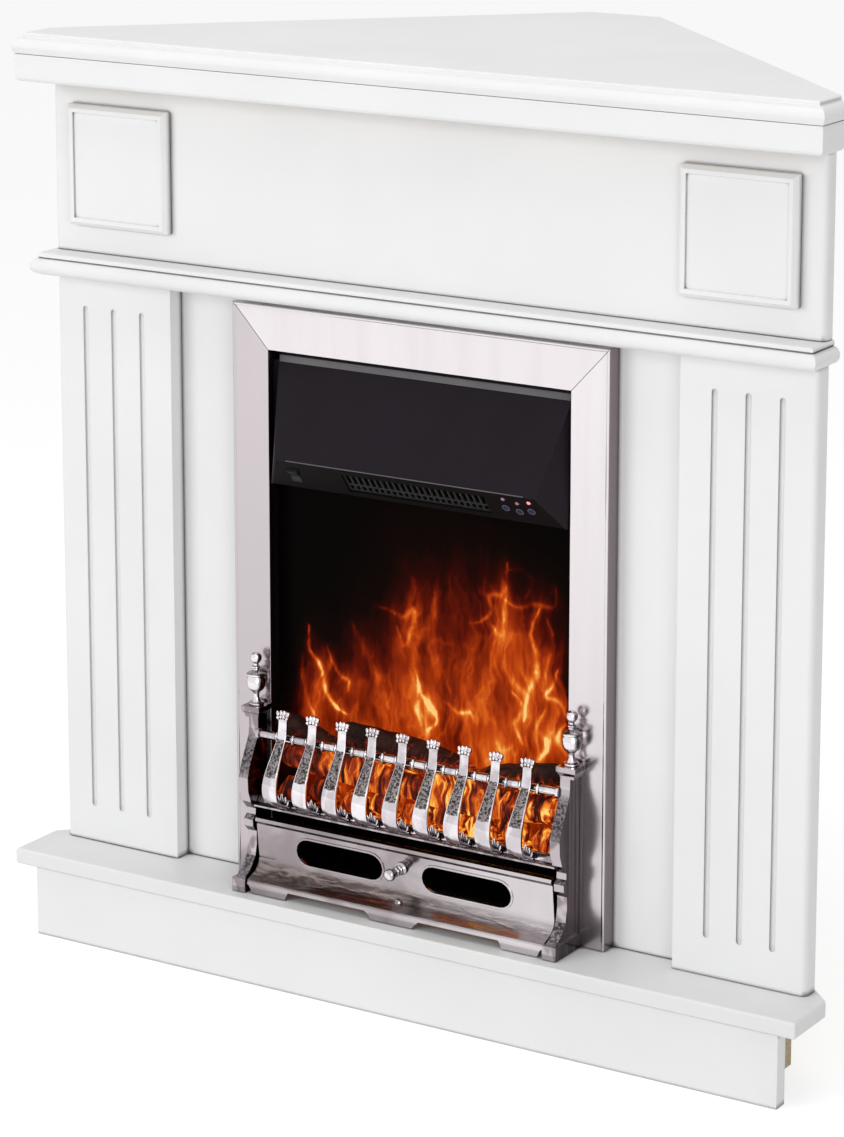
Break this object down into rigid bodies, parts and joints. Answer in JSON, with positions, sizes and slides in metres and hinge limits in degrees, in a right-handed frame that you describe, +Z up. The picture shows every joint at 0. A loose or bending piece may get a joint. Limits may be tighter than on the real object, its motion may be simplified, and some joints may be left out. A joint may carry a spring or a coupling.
{
  "type": "corner fireplace",
  "caption": "White corner fireplace surround with a moulded mantel, fluted pilasters and a hearth shelf, holding an inset electric fire behind a bright fret of bowed bars.",
  "frame": {"origin": "on the floor, under the middle of the box that holds the whole fireplace", "axes": "+Z up; -Y is the front that faces the room and +Y points into the corner; +X is to the right of someone who faces the fire"},
  "size_m": [1, 0.525, 1.045],
  "materials": {
    "white_lacquer": "satin white lacquer on board",
    "bare_board": "raw board",
    "polished_chrome": "mirror polished",
    "black_steel": "satin black paint",
    "black_plastic": "fine matt",
    "grey_plastic": "moulded",
    "dull_lens": "tinted clear moulding, unlit",
    "lit_lens": "tinted clear moulding, lit",
    "flame_screen": "smoked screen lit from behind with a flame picture",
    "fuel_resin": "moulded logs and coals, glowing from below",
    "plated_steel": "zinc plated",
    "circuit_board": "coated board"
  },
  "bodies": {
    "fireplace": {"blower_housing": "plated_steel", "blower_motor": "black_plastic", "cheek_left": "polished_chrome", "cheek_right": "polished_chrome", "control_board": "circuit_board", "cord_gland": "black_plastic", "finial_left": "polished_chrome", "finial_right": "polished_chrome", "fire_casing": "black_steel", "flame_screen": "flame_screen", "fret_bar_1": "polished_chrome", "fret_bar_2": "polished_chrome", "fret_bar_3": "polished_chrome", "fret_bar_4": "polished_chrome", "fret_bar_5": "polished_chrome", "fret_bar_6": "polished_chrome", "fret_bar_7": "polished_chrome", "fret_bar_8": "polished_chrome", "fret_bar_9": "polished_chrome", "frieze_board": "white_lacquer", "frieze_panel_left": "white_lacquer", "frieze_panel_right": "white_lacquer", "fuel_bed": "fuel_resin", "hearth_shelf": "white_lacquer", "heater_element": "plated_steel", "hood": "black_steel", "indicator_left": "dull_lens", "indicator_middle": "dull_lens", "indicator_right": "lit_lens", "infill_panel": "white_lacquer", "light_board": "circuit_board", "lower_rail": "polished_chrome", "mantel_core": "bare_board", "mantel_fascia": "white_lacquer", "mantel_top": "white_lacquer", "mid_rail": "white_lacquer", "outlet_grille": "black_plastic", "outlet_panel": "black_steel", "pilaster_left": "white_lacquer", "pilaster_right": "white_lacquer", "plinth_front": "white_lacquer", "plinth_side_left": "bare_board", "plinth_side_right": "bare_board", "rear_cover": "black_steel", "side_return_left": "white_lacquer", "side_return_right": "white_lacquer", "spindle_bearing": "grey_plastic", "spindle_motor": "grey_plastic", "top_rail": "polished_chrome", "trim_left": "polished_chrome", "trim_right": "polished_chrome", "trim_top": "polished_chrome"},
    "rocker": {"power_rocker": "black_plastic"},
    "left_button": {"button_left": "black_plastic"},
    "middle_button": {"button_middle": "black_plastic"},
    "right_button": {"button_right": "black_plastic"},
    "blower": {"blower_rotor": "plated_steel"},
    "spindle": {"flame_spindle": "plated_steel"},
    "ash_cover": {"ashpan_cover": "polished_chrome", "ashpan_knob": "polished_chrome"}
  },
  "joints": [
    {"name": "rocker_tilt", "type": "hinge", "parent": "fireplace", "child": "rocker", "pos_m": [-0.147, -0.2041, 0.5798], "axis": [1, 0, 0], "range_deg": [-16, 0]},
    {"name": "left_button_press", "type": "slide", "parent": "fireplace", "child": "left_button", "axis": [0, 0.7894, 0.6139], "range_m": [0, 0.0012], "stiffness_N_per_m": 250, "springref_m": -0.0004},
    {"name": "middle_button_press", "type": "slide", "parent": "fireplace", "child": "middle_button", "axis": [0, 0.7894, 0.6139], "range_m": [0, 0.0012], "stiffness_N_per_m": 250, "springref_m": -0.0004},
    {"name": "right_button_press", "type": "slide", "parent": "fireplace", "child": "right_button", "axis": [0, 0.7894, 0.6139], "range_m": [0, 0.0012], "stiffness_N_per_m": 250, "springref_m": -0.0004},
    {"name": "blower_spin", "type": "hinge", "parent": "fireplace", "child": "blower", "pos_m": [0, -0.1095, 0.648], "axis": [1, 0, 0], "continuous": true},
    {"name": "spindle_spin", "type": "hinge", "parent": "fireplace", "child": "spindle", "pos_m": [0, -0.1165, 0.24], "axis": [1, 0, 0], "continuous": true},
    {"name": "ash_cover_pull", "type": "slide", "parent": "fireplace", "child": "ash_cover", "axis": [0, -1, 0], "range_m": [0, 0.06]}
  ]
}
